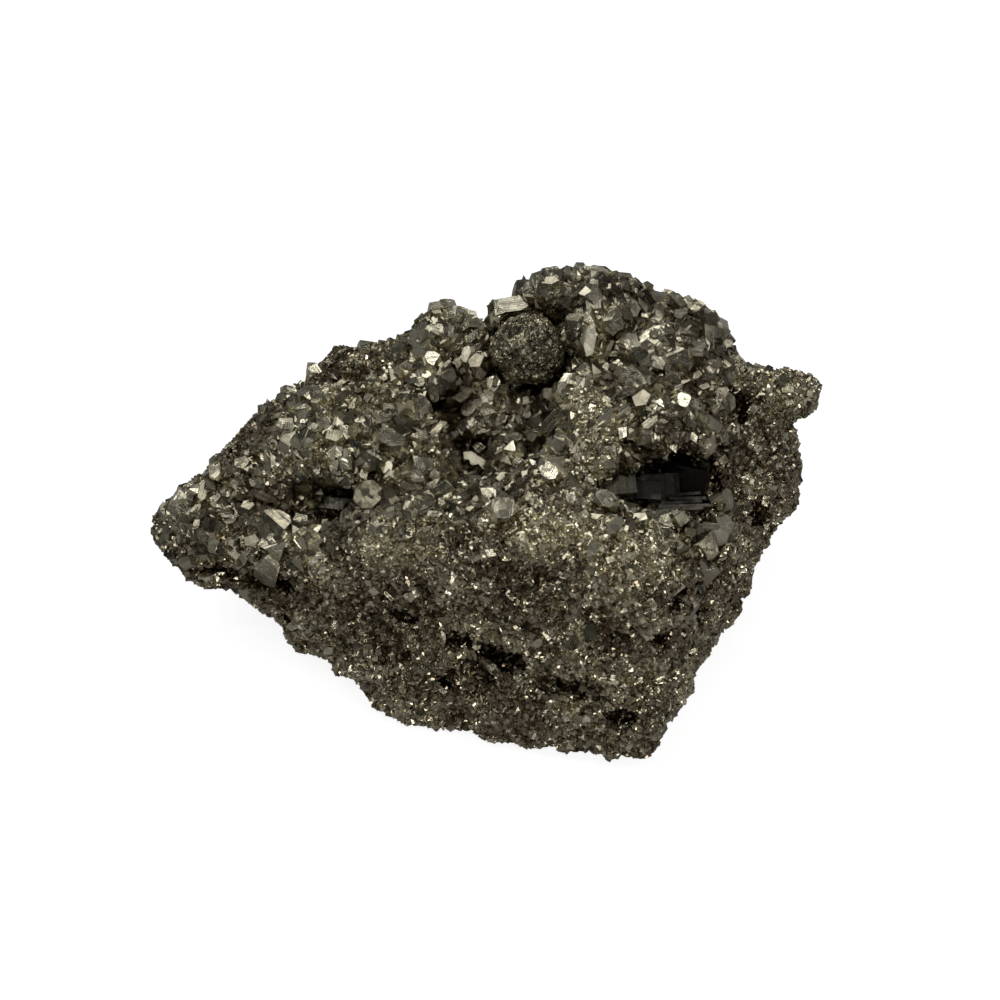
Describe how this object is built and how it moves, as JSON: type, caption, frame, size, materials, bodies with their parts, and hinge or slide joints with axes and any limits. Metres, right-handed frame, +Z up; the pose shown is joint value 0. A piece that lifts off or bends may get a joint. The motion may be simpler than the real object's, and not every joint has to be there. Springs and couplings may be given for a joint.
{
  "type": "pyrite specimen",
  "caption": "Hand-sized chunk of granular pyrite: a rough metallic mass with a flat broken foot, a lumpy crown round a hollow, a round nodule and larger crystals seated in it.",
  "frame": {"origin": "under the middle of the chunk, on the surface that it rests on", "axes": "+X along the chunk's length towards the knob, +Y towards its back wall, +Z up"},
  "size_m": [0.0672, 0.0452, 0.0286],
  "materials": {
    "granular_pyrite": "fine glittering metallic grain, greyish brass, tarnished in the pits",
    "wrinkled_pyrite": "finely wrinkled dull metallic skin, dark greyish brass",
    "crystal_pyrite": "flat mirror-bright metallic faces, pale brass, finely striated"
  },
  "bodies": {
    "root": {"pyrite_mass": "granular_pyrite", "wrinkled_nodule": "wrinkled_pyrite", "crystal_notch_prism": "crystal_pyrite", "crystal_crest_kite": "crystal_pyrite", "crystal_crest_pale": "crystal_pyrite", "crystal_crest_small": "crystal_pyrite", "crystal_crest_left_end": "crystal_pyrite", "crystal_nodule_side": "crystal_pyrite", "crystal_nodule_foot": "crystal_pyrite", "crystal_lump_bright": "crystal_pyrite", "crystal_lump_green": "crystal_pyrite", "crystal_slab_green": "crystal_pyrite", "crystal_slab_rim": "crystal_pyrite", "crystal_groove_bright": "crystal_pyrite", "crystal_hollow_left": "crystal_pyrite", "crystal_hollow_green": "crystal_pyrite", "crystal_hollow_bright": "crystal_pyrite", "crystal_hollow_middle": "crystal_pyrite", "crystal_ridge_plate": "crystal_pyrite", "crystal_ridge_yellow": "crystal_pyrite", "crystal_cleft_grey": "crystal_pyrite", "crystal_gully_grey": "crystal_pyrite", "crystal_shelf_pale": "crystal_pyrite", "crystal_neck_small": "crystal_pyrite"}
  },
  "joints": []
}
